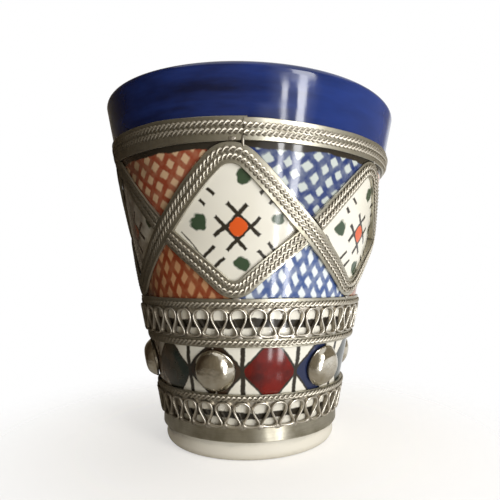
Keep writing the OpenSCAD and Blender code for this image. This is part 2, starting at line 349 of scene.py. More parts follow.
# Orange heart, the crossed bars round it, four green dots and the ticks along the edges
bar_off = 2.15
bar_long = 4.9
bar_half = 0.47
heart_half = 2.05
heart_square = 3.0
tick_half = 0.42
for along, across in ((rising, falling), (falling, rising)):
    bar = apart(across, bar_off)
    past = calculate(tree, "SUBTRACT", along, bar_long)
    bar = calculate(tree, "MAXIMUM", bar, past)
    coat = lay(coat, outline_black, bar, bar_half)
heart = calculate(tree, "POWER", rising, heart_square)
heart_too = calculate(tree, "POWER", falling, heart_square)
heart = calculate(tree, "ADD", heart, heart_too)
heart = calculate(tree, "POWER", heart, 1 / heart_square)
coat = lay(coat, motif_orange, heart, heart_half)
dab = patches(tree, place, 2.4, 1.0)
for across, above, size in ((-9.3, 0.9, 1.95), (9.7, 1.9, 1.5), (1.7, 11.3, 1.85), (0.9, -8.9, 1.8)):
    spot = measure(tree, "DISTANCE", flat, (across, above, 0))
    spot = calculate(tree, "MULTIPLY_ADD", dab, 2.4, spot)
    spot = calculate(tree, "SUBTRACT", spot, 1.2)
    coat = lay(coat, dot_green, spot, size, 0.25)
ticks = (
    (down_right, up_right, -9.8, 1.45, 0.7), (down_right, up_right, -9.6, -1.9, 0.55),
    (up_right, down_right, -8.9, -0.6, 1.6), (up_right, down_right, -9.0, 2.9, 1.6),
    (down_right, up_right, 8.9, 2.4, 0.8), (down_right, up_right, 8.9, -0.4, 0.8),
    (up_right, down_right, 10.3, 1.5, 0.5), (up_right, down_right, 10.3, -1.6, 0.4),
)
for along, across, where, beside, half_long in ticks:
    tick = apart(across, beside)
    past = apart(along, where)
    past = calculate(tree, "SUBTRACT", past, half_long)
    tick = calculate(tree, "MAXIMUM", tick, past)
    coat = lay(coat, outline_black, tick, tick_half)
# A thin dark line beside the strap, low on the left
thread_off = -10.7
thread_long = 9.0
thread_half = 0.15
thread = apart(up_right, thread_off)
past = calculate(tree, "SUBTRACT", falling, thread_long)
thread = calculate(tree, "MAXIMUM", thread, past)
coat = lay(coat, outline_black, thread, thread_half)

# Row of diamonds behind the bosses, in four colours between upright lines
cell_turn = 360 / 13
row_turn = 3.2
row_z = 23.0
row_half_h = 8.1
row_fill = 1.07
row_reach = 8.0
diamond_face = 5.5
diamond_line = 0.27
upright_line = 0.58
late_by = 2.0
blotch = patches(tree, place, 4, 3.0)
blotch = ranged(tree, blotch, 0.35, 0.65)
blotched_red = mix(tree, blotch, row_maroon, row_red)
row_colours = (blotched_red, row_blue, row_green, row_brown)
# The painter set the cells on the left a little further round
late = apart(degrees, -90.0)
late = ranged(tree, late, 66.0, 82.0, late_by, 0.0)
cell = calculate(tree, "ADD", degrees, late)
cell = calculate(tree, "SUBTRACT", cell, row_turn)
order = calculate(tree, "DIVIDE", cell, cell_turn)
order = calculate(tree, "FLOOR", order)
order = calculate(tree, "FLOORED_MODULO", order, float(len(row_colours)))
cell = calculate(tree, "SUBTRACT", cell, cell_turn / 2)
cell = calculate(tree, "WRAP", cell, cell_turn / 2, -cell_turn / 2)
cell = calculate(tree, "ABSOLUTE", cell)
row_up = apart(z, row_z)
cell_side = calculate(tree, "MULTIPLY", cell, 2 / cell_turn / row_fill)
cell_reach = calculate(tree, "MULTIPLY_ADD", row_up, 1 / row_half_h, cell_side)
row_paint = row_colours[0]
for number, colour in enumerate(row_colours[1:], start=1):
    chosen = calculate(tree, "COMPARE", order, float(number), 0.1)
    row_paint = mix(tree, chosen, row_paint, colour)
inside_by = calculate(tree, "SUBTRACT", cell_reach, 1.0)
inside_by = calculate(tree, "MULTIPLY", inside_by, diamond_face)
row_coat = lay(coat, row_paint, inside_by, 0.0, 0.1)
edge_by = calculate(tree, "ABSOLUTE", inside_by)
row_coat = lay(row_coat, outline_black, edge_by, diamond_line)
upright = calculate(tree, "MULTIPLY_ADD", cell, -1.0, cell_turn / 2)
upright = calculate(tree, "MULTIPLY", upright, arc_mm)
row_coat = lay(row_coat, outline_black, upright, upright_line)
in_row = calculate(tree, "LESS_THAN", row_up, row_reach)
coat = mix(tree, in_row, coat, row_coat)

# Dark painted rings behind the two scroll bands; the dark ring under the collar is partly a painted line and
# partly the collar's painted shadow
for ring_z, ring_half, tilt in ((76.65, 1.0, 0.012), (35.0, 1.05, 0.0), (12.0, 0.8, 0.0)):
    ring = calculate(tree, "MULTIPLY_ADD", rightwards, -tilt, z)
    coat = lay(coat, outline_black, apart(ring, ring_z), ring_half)

# The glaze is painted darker and browner in patches on the left, as painted shade on the side away from the
# window
stain_and_shade = patches(tree, place, 4, 3.0)
leftwards = calculate(tree, "DIVIDE", x, radius)
stain_and_shade = calculate(tree, "MULTIPLY_ADD", stain_and_shade, 0.5, leftwards)
stain_and_shade = ranged(tree, stain_and_shade, -0.3, -0.6, 0.0, 0.85)
coat = mix(tree, stain_and_shade, coat, painted_shade_brown)

# White inside; the cobalt of the rim runs a little way over the lip, streaked by the brush,
# and is painted lighter to the right, as painted light on the side towards the window
lining_r = 22.3
lining_slope = 0.1905
rim_paint_z = 79.4
rim_paint_inside = 10.0
wiped_z = 4.0
inner = calculate(tree, "MULTIPLY_ADD", z, lining_slope, lining_r)
inner = calculate(tree, "LESS_THAN", radius, inner)
coat = mix(tree, inner, coat, white)
rim_low = calculate(tree, "MULTIPLY_ADD", inner, rim_paint_inside, rim_paint_z)
rim_over = calculate(tree, "SUBTRACT", rim_low, z)
streak = add(tree, "VectorMath", [place, (1 / 16, 1 / 16, 1 / 3)], operation="MULTIPLY")
streak = patches(tree, streak, 1, 3.0)
streak = ranged(tree, streak, 0.3, 0.7)
rim_paint = mix(tree, streak, rim_deep, rim_light)
# Painted light: the rim's blue is lighter to the right
painted_light_right = ranged(tree, x, 4.0, 36.0, 0.0, 0.55)
rim_paint = mix(tree, painted_light_right, rim_paint, rim_lit_blue)
painted = ranged(tree, rim_over, 0.15, -0.15)
coat = mix(tree, painted, coat, rim_paint)
lip = ranged(tree, z, cup_h - 1.7, cup_h - 1.05, 0.0, 0.5)
coat = mix(tree, lip, coat, lip_pale)
wiped = ranged(tree, z, wiped_z + 0.6, wiped_z - 0.6)
coat = mix(tree, wiped, coat, clay_cream)
tree.links.new(coat, shader.inputs["Base Color"])
gloss = patches(tree, place, 5, 4.0)
gloss = ranged(tree, gloss, 0.3, 0.7, 0.06, 0.16)
dull = calculate(tree, "MULTIPLY_ADD", wiped, 0.35, gloss)
tree.links.new(dull, shader.inputs["Roughness"])
shader.inputs["Specular IOR Level"].default_value = 0.56
flow = patches(tree, place, 6, 2.0)
flow = add(tree, "Bump", {"Strength": 0.35, "Distance": 0.12 * mm, "Height": flow})
tree.links.new(flow, shader.inputs["Normal"])

lip_r = wall_t / 2
lip_z = cup_h - lip_r
foot_in = wall_r(foot_round) - foot_round
ring_in = foot_in - foot_ring_w
bowl_z = floor_t + floor_round
wall_z = np.linspace(foot_round, lip_z, 120)[1:-1]
bowl_wall_z = np.linspace(lip_z, bowl_z, 80)[1:-1]
profile = np.concatenate([
    [(centre_hole, foot_recess), (ring_in * 0.6, foot_recess), (ring_in - 0.8, foot_recess)],
    arc((ring_in + foot_edge, foot_edge), foot_edge, 180, 270, 4),
    arc((foot_in, foot_round), foot_round, -90, 0, 10),
    np.stack([wall_r(wall_z), wall_z], axis=-1),
    arc((wall_r(lip_z) - lip_r, lip_z), lip_r, 0, 180, 20),
    np.stack([wall_r(bowl_wall_z) - wall_t, bowl_wall_z], axis=-1),
    arc((wall_r(bowl_z) - wall_t - floor_round, bowl_z), floor_round, 0, -90, 12),
    [(8.0, floor_t), (centre_hole, floor_t)],
])
around = np.linspace(0, 2 * math.pi, 288, endpoint=False)
r = profile[:, :1]
h = profile[:, 1:]
# Finger rings climb round the wall up to the rim, the cup is a little out of round, and its lip dips
rings = np.sin(2 * math.pi * h / finger_ring + around) * np.clip((fingers_end - h) / 8, 0, 1)
on_wall = np.clip((h - foot_round) / 10, 0, 1) * np.clip((r - 12) / 6, 0, 1)
r = r - on_wall * (finger_depth * (1 + rings) + out_of_round * (1 + np.cos(2 * around + 0.6)))
h = h - (lip_dip + lip_wave * np.cos(3 * around + 1.0)) * (h / cup_h) ** 6
cup_rows = np.stack([r * np.sin(around), -r * np.cos(around), h], axis=-1)
piece("painted_cup", [cup_rows], glaze, "cup", "glazed_earthenware", ["ceramic_cup"], crease=60)


# The collar under the rim: a flat strip of nickel silver bent round the cup, its end lapped over its start at
# the front and soldered. Two twisted wires run along it, each made of two thin strands laid together.
jacket_gap = 0.2
solder_gap = 0.05
strip_t = 0.5
strip_edge = 0.1
strip_seat = 0.12
dirt_reach = 0.72
rope_d = 1.1
rope_r = rope_d / 2
rope_pitch = 1.65
twin_ropes = (-rope_pitch / 2, rope_pitch / 2)
rope_flat = 0.5
rope_worn = 0.72
worn_and_shaded_side = -0.4
worn_fade = 0.27
rope_wide = 1.5
strand_full = 1.3
rope_lay = 2.6
rope_step = rope_lay / 14
strip_step = 0.9
strap_step = 0.7
collar_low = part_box("collar_band")[0].z / mm
collar_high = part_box("collar_band")[1].z / mm
collar_w = collar_high - collar_low
collar_mid = (collar_low + collar_high) / 2
collar_seam = 4.6
lap = strip_t + solder_gap
lap_turn = 1.0
lap_run = 15.0
collar_sag = 0.4
sag_turn = 55
sag_fade = 20


def trace(turn, z, spacing, closed):
    """A line round the cup, given by angles in degrees and heights: its evenly spaced points, the directions
    out of the cup and to its upper side at each, and the distances along it."""
    r = wall_r(z) + jacket_gap
    a = np.radians(turn)
    rough = np.stack([r * np.sin(a), -r * np.cos(a), z], axis=-1)
    run = np.concatenate([[0], np.cumsum(np.linalg.norm(np.diff(rough, axis=0), axis=1))])
    count = int(round(run[-1] / spacing))
    even = np.linspace(0, run[-1], count + 1)
    a = np.interp(even, run, a)
    z = np.interp(even, run, z)
    r = wall_r(z) + jacket_gap
    points = np.stack([r * np.sin(a), -r * np.cos(a), z], axis=-1)
    lean = wall_lean(z)
    out = np.stack([np.cos(lean) * np.sin(a), -np.cos(lean) * np.cos(a), -np.sin(lean)], axis=-1)
    if closed:
        points, out, even = points[:-1], out[:-1], even[:-1]
        along = np.roll(points, -1, axis=0) - np.roll(points, 1, axis=0)
    else:
        along = np.gradient(points, axis=0)
    side = np.cross(out, along)
    side /= np.linalg.norm(side, axis=1, keepdims=True)
    return points, out, side, even


def lay_strip(name, node, line, width, metal, closed=False, ropes=(), rise=0.0, fuller=0.0, seat=strip_seat,
              swollen=0.0):
    """Makes a flat strip along a line, with softened edges, and marks for its finish where it is darker
    beside its ropes, partly soiling and partly painted shade, and how the strip lies. fuller is the share
    that its lower half is wider by, seat how far its back reaches towards the cup, and swollen how far its
    face stands out over solder."""
    points, out, side, run = line
    half = width / 2
    face = np.linspace(-half + strip_edge, half - strip_edge, 17)
    across = np.concatenate([[-half + strip_edge, -half, -half], face, [half, half, half - strip_edge]])
    edge = np.array([-seat, strip_edge, strip_t - strip_edge])
    height = np.concatenate([edge, np.full(len(face), strip_t), edge[::-1]])
    dirt = sum((np.exp(-((across - rope) / dirt_reach) ** 4) for rope in ropes), np.zeros(len(across)))
    length = run[-1] + run[1]
    bow = 2 * math.pi * run / length
    # Cut and bent by hand, it wanders and varies in width by a few hundredths of a millimetre
    wander = 0.05 * np.sin(round(length / 57) * bow) + 0.04 * np.sin(round(length / 23) * bow + 1.0)
    swell = 1 + 0.012 * np.sin(round(length / 33) * bow) + 0.008 * np.sin(round(length / 13) * bow)
    swell = swell[:, None] + np.outer(np.broadcast_to(fuller, run.shape), across < 0)
    lift = np.broadcast_to(rise, run.shape)[:, None] + height
    lift = lift + np.outer(np.broadcast_to(swollen, run.shape), height > 0)
    rows = (points[:, None] + out[:, None] * lift[:, :, None]
            + side[:, None] * (across * swell + wander[:, None])[:, :, None])
    dirt = np.broadcast_to(np.clip(dirt, 0, 1), rows.shape[:2])
    lie = np.stack(np.broadcast_arrays(run[:, None], across[None, :], 0.0), axis=-1)
    piece(name, [rows], metal, "holder", "nickel_silver_strip", [node], closed, dirt=[dirt], lie=[lie])


def lay_ropes(name, node, line, ropes, closed=False, rise=0.0):
    """Makes twisted wires of two strands that lie on the strip along a line, each given by how far to its
    side it lies and where the twist begins, and marks for their finish how high each point stands."""
    points, out, side, run = line
    strand_r = rope_r / 2
    length = run[-1] + run[1]
    bow = 2 * math.pi * run / length
    # The wires are worn flatter on the left
    leftwards = points[:, 0] / np.hypot(points[:, 0], points[:, 1])
    relief = rope_flat * (1 - rope_worn * np.clip((worn_and_shaded_side - leftwards) / worn_fade, 0, 1))
    lift = strip_t + relief * rope_r + np.broadcast_to(rise, run.shape)
    round_angle = np.linspace(0, 2 * math.pi, 8, endpoint=False)
    skins = []
    crests = []
    for offset, phase in ropes:
        wander = offset + 0.05 * np.sin(round(length / 26) * bow + phase)
        for strand in (0, math.pi):
            twist = round(length / rope_lay) * bow + phase + strand
            up = strand_r * (np.cos(twist)[:, None] + strand_full * np.cos(round_angle))
            over = strand_r * (rope_wide * np.sin(twist)[:, None] + strand_full * np.sin(round_angle))
            skins.append(points[:, None] + out[:, None] * (lift[:, None] + relief[:, None] * up)[:, :, None]
                         + side[:, None] * (wander[:, None] + over)[:, :, None])
            crests.append(np.clip((up + rope_r) / rope_d, 0, 1))
    piece(name, skins, wire_metal, "holder", "twisted_wire", [node], closed, crease=80, crest=crests)


def shade_left_side(tree, place, metal, rough):
    """Painted shade on the left of the jacket: its metal is painted darker there in patches, and made
    rougher.
    """
    thick = patches(tree, place, 6, 3.0)
    level = add(tree, "VectorMath", [place, (1.0, 1.0, 0.0)], operation="MULTIPLY")
    level = add(tree, "VectorMath", [level], operation="NORMALIZE")
    leftwards = add(tree, "SeparateXYZ", [level])
    left_shade = calculate(tree, "MULTIPLY_ADD", thick, 0.38, leftwards)
    left_shade = ranged(tree, left_shade, worn_and_shaded_side + 0.42, worn_and_shaded_side - 0.2, 0.0, 0.85)
    # Painted shade: the metal is darker towards the left
    metal = mix(tree, left_shade, metal, linear("#7a6f5c"))
    rough = calculate(tree, "MULTIPLY_ADD", left_shade, 0.34, rough)
    return metal, rough


def bare_metal(tree, shader, metal, rough):
    """Gives a shader the colour and the roughness of a bare metal."""
    tree.links.new(metal, shader.inputs["Base Color"])
    tree.links.new(rough, shader.inputs["Roughness"])
    shader.inputs["Metallic"].default_value = 1.0


# Rolled nickel silver, filed flat and worn by hands: a warm grey metal with a soft shine. Fine scratches run
# along the strip, the dull brown skin of age lies in patches, and beside the wires it is darker, partly
# dirt and partly painted shade.
def rolled_strip(name, smoothest, dullest, dented, shaded_left):
    """A finish for strips: the roughness of its bare and its aged patches, how dented it is, and if its left
    gets painted shade.
    """
    made, tree, shader = new_surface(name)
    place = in_mm(tree)
    lie = add(tree, "Attribute", [], attribute_name="lie").node.outputs["Vector"]
    dirt = marked(tree, "dirt")
    patch = add(tree, "TexNoise", {"Vector": place, "Scale": 1 / 5, "Detail": 4.0, "Roughness": 0.6})
    patch = ranged(tree, patch, 0.38, 0.66)
    metal = mix(tree, patch, linear("#c9c5b5"), linear("#aaa491"))
    scratch = add(tree, "VectorMath", [lie, (1 / 6, 1 / 0.25, 1.0)], operation="MULTIPLY")
    scratch = patches(tree, scratch, 1, 3.0)
    shade = ranged(tree, scratch, 0.35, 0.65, 0.0, 0.3)
    metal = mix(tree, shade, metal, linear("#9a9183"))
    # Darker beside the wires: partly soiling, partly painted shade between wire and strip
    dirt_and_shade_clot = patches(tree, place, 1.6, 3.0)
    dirt_and_shade_clot = ranged(tree, dirt_and_shade_clot, 0.3, 0.7, 0.05, 0.16)
    dirt_and_shade_clot = calculate(tree, "MULTIPLY", dirt_and_shade_clot, dirt)
    metal = mix(tree, dirt_and_shade_clot, metal, linear("#5e5548"))
    rough = ranged(tree, patch, 0.0, 1.0, smoothest, dullest)
    rough = calculate(tree, "MULTIPLY_ADD", dirt_and_shade_clot, 0.3, rough)
    if shaded_left:
        metal, rough = shade_left_side(tree, place, metal, rough)
    bare_metal(tree, shader, metal, rough)
    dents = patches(tree, place, 3, 2.0)
    grain = calculate(tree, "MULTIPLY_ADD", scratch, 0.15, dents)
    grain = add(tree, "Bump", {"Strength": dented, "Distance": 0.12 * mm, "Height": grain})
    tree.links.new(grain, shader.inputs["Normal"])
    return made


strip_metal = rolled_strip("rolled_nickel_silver", 0.36, 0.5, 0.4, True)

# Drawn nickel-silver wire, two strands twisted: its crests are rubbed lighter, and the grooves are darker,
# partly with age and partly painted shade.
wire_metal, tree, shader = new_surface("twisted_nickel_silver_wire")
place = in_mm(tree)
crest = marked(tree, "crest")
rubbed_and_shaded = patches(tree, place, 4, 3.0)
rubbed_and_shaded = ranged(tree, rubbed_and_shaded, 0.3, 0.7, -0.12, 0.12)
rubbed_and_shaded = calculate(tree, "ADD", crest, rubbed_and_shaded)
bright = ranged(tree, rubbed_and_shaded, 0.45, 0.9)
# Lighter crests and darker grooves: partly wear, partly painted shade
metal = mix(tree, bright, linear("#b6ae9f"), linear("#cac4b6"))
rough = ranged(tree, bright, 0.0, 1.0, 0.55, 0.44)
metal, rough = shade_left_side(tree, place, metal, rough)
bare_metal(tree, shader, metal, rough)

# Soft solder, melted on and left: small bright lumps, a little slumped, no two alike.
solder, tree, shader = new_surface("melted_solder")
place = in_mm(tree)
skin_of_age = patches(tree, place, 0.8, 3.0)
skin_of_age = ranged(tree, skin_of_age, 0.35, 0.65)
metal = mix(tree, skin_of_age, linear("#d8d3c8"), linear("#a69e91"))
rough = ranged(tree, skin_of_age, 0.0, 1.0, 0.3, 0.5)
metal, rough = shade_left_side(tree, place, metal, rough)
bare_metal(tree, shader, metal, rough)


def stand(turn, z, across, up, out):
    """Points given across, up and out from a spot on the wall, as points of the object."""
    a = math.radians(turn)
    lean = wall_lean(z)
    away = np.array([math.cos(lean) * math.sin(a), -math.cos(lean) * math.cos(a), -math.sin(lean)])
    level = np.array([math.cos(a), math.sin(a), 0.0])
    rising = np.cross(away, level)
    spot = np.array([wall_r(z) * math.sin(a), -wall_r(z) * math.cos(a), z])
    return (spot + across[..., None] * level + up[..., None] * rising
            + (out[..., None] + jacket_gap) * away)


def lump(turn, z, wide, tall, thick, seat, chance):
    """A slumped lump of solder on a seat height at a spot on the wall."""
    polar = np.radians(np.linspace(2, 178, 14))[:, None]
    turned = np.linspace(0, 2 * math.pi, 20, endpoint=False)[None, :]
    a, b, c = chance.uniform(0, 2 * math.pi, 3)
    size = 1 + 0.1 * np.sin(2 * turned + a) * np.sin(polar) + 0.08 * np.sin(3 * turned + b) * np.sin(polar)
    size = size + 0.06 * np.sin(2 * polar + c)
    across = size * wide / 2 * np.sin(polar) * np.cos(turned)
    up = size * tall / 2 * np.sin(polar) * np.sin(turned)
    out = seat + thick / 2 + thick / 2 * np.cos(polar) + 0 * turned
    return stand(turn, z, across, up, out)


# It was cut by hand: wider to the left of the seam, and to the right of it the front hangs a little low
def collar_z(turn):
    """Height of the collar's middle line at angles counted from the seam."""
    return collar_mid - collar_sag * np.clip((sag_turn - turn) / sag_fade, 0, 1)


def lap_rise(line):
    """How far the collar and its wires stand out at the seam, where its end is lapped over its start."""
    return lap * (0.5 + 0.5 * np.cos(math.pi * np.clip(line[3] / lap_run, 0, 1)))


collar_turn = np.linspace(0, 360 + lap_turn, 720)
collar_line = trace(collar_seam + collar_turn, collar_z(collar_turn), strip_step, closed=False)
left_of_seam = collar_turn[-1] * (1 - collar_line[3] / collar_line[3][-1])
collar_wider = np.interp(left_of_seam, (0, lap_turn, 2, 40, 60, 90), (0, 0, 0.16, 0.42, 0.42, 0))
lay_strip("collar_strip", "collar_band", collar_line, collar_w, strip_metal, ropes=twin_ropes,
          rise=lap_rise(collar_line), fuller=collar_wider)
rope_turn = np.linspace(0, 360, 720)
rope_line = trace(collar_seam + rope_turn, collar_z(rope_turn), rope_step, closed=False)
for name, offset, phase in (("lower", twin_ropes[0], 0.0), ("upper", twin_ropes[1], 1.3)):
    lay_ropes("collar_twist_" + name, "collar_wire_" + name, rope_line, [(offset, phase)],
              rise=lap_rise(rope_line))
chance = np.random.default_rng(5)
seam_run = lump(collar_seam - 0.4, collar_low - 0.3, 0.8, 2.6, 0.5, strip_t - 0.1, chance)
piece("seam_solder", [seam_run], solder, "holder", "solder", crease=80)


# The zigzag strap: one strip bent in a wave between the collar and the upper gallery, six bends round the
# cup, soldered to both. It carries two twisted wires, as the collar does.
strap_w = 4.8
front_sag = 0.6
crossing_lump = 1.1
crossing_run = 5.5
bend_r = 5.5
lattice_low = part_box("gallery_top_rail")[1].z / mm
bend_top_z = collar_low - solder_gap - strap_w / 2 - bend_r
bend_low_z = lattice_low + solder_gap + strap_w / 2 + bend_r
lattice_mid_z = (bend_top_z + bend_low_z) / 2
lozenge_w = math.pi * (wall_r(lattice_mid_z) + jacket_gap) * lozenge_turn / 180
bend_rise = bend_top_z - bend_low_z
strap_slope = math.atan2(bend_rise, lozenge_w) + math.asin(2 * bend_r / math.hypot(lozenge_w, bend_rise))
slope_degrees = math.degrees(strap_slope)
half_wave = np.concatenate([
    arc((0, bend_top_z), bend_r, 90, 90 - slope_degrees, 24),
    arc((lozenge_w, bend_low_z), bend_r, 270 - slope_degrees, 270, 24),
])
wave = []
for bend in range(lozenges // 2):
    back = half_wave[::-1] * (-1, 1) + (2 * lozenge_w, 0)
    wave.append(np.concatenate([half_wave[:-1], back[:-1]]) + (2 * lozenge_w * bend, 0))
wave = np.concatenate(wave + [half_wave[:1] + (lozenges * lozenge_w, 0)])


def finer(line):
    """A flat line's distances and heights, its straight runs cut up to follow the round of the cup."""
    step = np.linspace(0, len(line) - 1, 40 * len(line))
    return [np.interp(step, np.arange(len(line)), line[:, axis]) for axis in (0, 1)]


def settle(turn, z):
    """Heights of a strap once it is bent round the cup: a straight strip laid on a cone dips between its
    bends, and the bends at the top hang a little lower in front."""
    between = np.sin(np.radians(180 * turn / lozenge_turn)) ** 2
    high = np.clip((z - lattice_low) / (collar_low - lattice_low), 0, 1)
    front = np.clip(np.cos(np.radians(turn)), 0, 1)
    return z - strap_dip * between - front_sag * (high * front) ** 2


def crossing_swell(line):
    """How far the straps stand out over the lump of solder under each crossing, at the points of a line.
    The maker left much solder there, but little at the front on the left."""
    points = line[0]
    a = np.arctan2(points[:, 0], -points[:, 1])
    beside = (np.degrees(a) % lozenge_turn / lozenge_turn - 0.5) * lozenge_w
    in_front = np.cos(a) > 0.3
    share = np.where(in_front, 0.5 + 0.5 * np.sin(a), 1.0)
    return crossing_lump * share * np.exp(-(beside / crossing_run) ** 2)


wave_x, wave_z = finer(wave)
# The strip was closed at the back, a third of the way round
wave_turn = wave_x / lozenge_w * lozenge_turn + 2 * lozenge_turn
wave_z = settle(wave_turn, wave_z)
strap_line = trace(wave_turn, wave_z, strap_step, closed=True)
lay_strip("zigzag_strip", "zigzag_strap", strap_line, strap_w, strip_metal, closed=True, ropes=twin_ropes,
          swollen=crossing_swell(strap_line))
rope_line = trace(wave_turn, wave_z, rope_step, closed=True)
for name, offset, phase in (("lower", twin_ropes[0], 0.4), ("upper", twin_ropes[1], 2.0)):
    lay_ropes("zigzag_twist_" + name, "zigzag_wire_" + name, rope_line, [(offset, phase)], closed=True,
              rise=crossing_swell(rope_line))


# Six V-shaped straps close the lozenges. Each is a short strip with two twisted wires, bent once and cut at
# its ends to butt against the zigzag, where it is soldered; every other one points up.
vee_w = 4.2
vee_bend_r = bend_r - (strap_w - vee_w) / 2 / (1 / math.cos(strap_slope) - 1)
vee_bend_z = lattice_low + solder_gap + vee_w / 2 + vee_bend_r
vee_cut = (strap_w / 2 + 2 * solder_gap) / math.sin(2 * strap_slope)
vee_start = np.array([[-lozenge_w / 2 + vee_cut * math.cos(strap_slope),
                       lattice_mid_z - vee_cut * math.sin(strap_slope)]])
vee_half = np.concatenate([vee_start, arc((0, vee_bend_z), vee_bend_r, 270 - slope_degrees, 270, 24)])
vee = np.concatenate([vee_half, vee_half[-2::-1] * (-1, 1)])
vee_x, vee_z = finer(vee)
for number in range(1, lozenges + 1):
    points_up = number % 2 == 0
    this_turn = (vee_x / lozenge_w + number - 1) * lozenge_turn
    this_z = 2 * lattice_mid_z - vee_z if points_up else vee_z
    this_z = settle(this_turn, this_z)
    vee_line = trace(this_turn, this_z, strap_step, closed=False)
    lay_strip(f"vee_strip_{number}", f"vee_strap_{number}", vee_line, vee_w, strip_metal, ropes=twin_ropes,
              swollen=crossing_swell(vee_line))
    rope_line = trace(this_turn, this_z, rope_step, closed=False)
    pair = [(offset, 1.7 * number + offset) for offset in twin_ropes]
    lay_ropes(f"vee_twists_{number}", f"vee_wires_{number}", rope_line, pair, rise=crossing_swell(rope_line))


# The upper gallery: two narrow rails of strip, each with one twisted wire, and between them a thin ribbon
# that stands on edge and winds up and down in a row of round loops. Each bend of it is soldered to a rail.
back_seam = 0.2
ribbon_t = 0.5
ribbon_d = 1.2
loop_swell = 0.28
neck_drop = 0.22
loop_points = 40


def rail(name, node, wire_node, wire_from_top):
    """A ring of strip with its seam at the back and one twisted wire on it."""
    low, high = (corner.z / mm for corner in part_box(node))
    middle = (low + high) / 2
    rope = high - wire_from_top - middle
    ring_turn = np.linspace(180 + back_seam, 540 - back_seam, 720)
    ring_z = np.full(720, middle)
    rail_line = trace(ring_turn, ring_z, strip_step, closed=False)
    lay_strip(name, node, rail_line, high - low, strip_metal, ropes=(rope,))
    rope_line = trace(ring_turn, ring_z, rope_step, closed=False)
    lay_ropes(name + "_twist", wire_node, rope_line, [(rope, middle)])


def scroll(name, node, low, high, loops, first, seed):
    """A ribbon on edge that winds between two heights in swelling loops, none quite like the next."""
    swing = (high - low - ribbon_t) / 2 - solder_gap
    middle = (low + high) / 2
    spacing = 2 * math.pi * (wall_r(middle) + jacket_gap) / loops
    chance = np.random.default_rng(seed)
    t = np.arange(loops * loop_points) / loop_points
    uneven = np.interp(t, np.arange(loops + 1), np.tile(chance.uniform(-1, 1, loops), 2)[:loops + 1])
    swell = loop_swell * (1 + 0.08 * uneven)
    x = spacing * (t + swell * np.sin(4 * math.pi * t) + 0.02 * uneven)
    rise = np.cos(2 * math.pi * t)
    z = middle + swing * (rise - neck_drop * (1 - rise ** 2))
    step_x = (np.roll(x, -1) - np.roll(x, 1) + spacing * loops * (np.roll(t, 1) > np.roll(t, -1))) / 2
    step_z = (np.roll(z, -1) - np.roll(z, 1)) / 2
    size = np.hypot(step_x, step_z)
    normal = np.stack([-step_z / size, step_x / size], axis=-1)
    half = ribbon_t / 2
    section = np.concatenate([[(-half, 0)], arc((0, ribbon_d - half), half, 180, 0, 6), [(half, 0)]])
    flat_x = x[:, None] + normal[:, :1] * section[None, :, 0]
    flat_z = z[:, None] + normal[:, 1:] * section[None, :, 0]
    a = np.radians(first + 360 * flat_x / spacing / loops)
    r = wall_r(flat_z) + jacket_gap + section[None, :, 1]
    rows = np.stack([r * np.sin(a), -r * np.cos(a), flat_z], axis=-1)
    crest = np.broadcast_to(section[None, :, 1] / ribbon_d, rows.shape[:2])
    piece(name, [rows], ribbon_metal, "holder", "scroll_ribbon", [node],
          closed=True, crease=35, crest=[crest])
    fills = []
    for loop in range(loops):
        wide, tall = chance.uniform((2.4, 2.4), (3.1, 3.6))
        fills.append(lump(first + 360 * (loop + 0.5) / loops, high, wide, tall, 0.45, 0.0, chance))
        wide, tall = chance.uniform((1.8, 1.2), (2.8, 2.2))
        fills.append(lump(first + 360 * loop / loops, low, wide, tall, 0.45, 0.0, chance))
    piece(name + "_solder", fills, solder, "holder", "solder", crease=80)


# Flattened nickel-silver wire, wound on edge: the outer edge is rubbed bright, and the faces, which nobody
# can reach, are darker towards the cup, partly stained and partly painted shade where they meet the wall.
ribbon_metal, tree, shader = new_surface("flattened_nickel_silver_ribbon")
place = in_mm(tree)
crest = marked(tree, "crest")
stain_and_shade = patches(tree, place, 3, 4.0)
stain_and_shade = ranged(tree, stain_and_shade, 0.3, 0.7, -0.25, 0.25)
stain_and_shade = calculate(tree, "ADD", crest, stain_and_shade)
bright = ranged(tree, stain_and_shade, 0.1, 0.95)
# Darker towards the cup: partly stain, partly painted shade where the faces meet the wall
metal = mix(tree, bright, linear("#7f7565"), linear("#e0dacd"))
rough = ranged(tree, bright, 0.0, 1.0, 0.5, 0.3)
metal, rough = shade_left_side(tree, place, metal, rough)
bare_metal(tree, shader, metal, rough)

rail("gallery_upper_strip", "gallery_top_rail", "gallery_top_wire", 1.5)
rail("gallery_lower_strip", "gallery_bottom_rail", "gallery_bottom_wire", 1.18)
gallery_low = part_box("gallery_bottom_rail")[1].z / mm
gallery_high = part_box("gallery_top_rail")[0].z / mm
scroll("gallery_ribbon", "gallery_scroll", gallery_low, gallery_high, loops=42, first=1.55, seed=3)


# The lower gallery: a narrow rail with its wire, a second scroll ribbon, and a plain skirt of strip above
# the foot. They are bent, wired and soldered as the upper ones are.
rail("base_upper_strip", "base_rail", "base_wire", 0.9)
skirt_low, skirt_high = (corner.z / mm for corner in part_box("base_skirt"))
skirt_w = skirt_high - skirt_low
skirt_rise = 0.12
skirt_turn = np.linspace(180 + back_seam, 540 - back_seam, 720)
skirt_z = np.full(720, (skirt_low + skirt_high) / 2)
points, out, side, run = trace(skirt_turn, skirt_z, strip_step, closed=False)
upright = out * (1, 1, 0) / np.linalg.norm(out[:, :2], axis=1, keepdims=True)
skirt_line = (points, upright, 0 * side + (0, 0, 1), run)
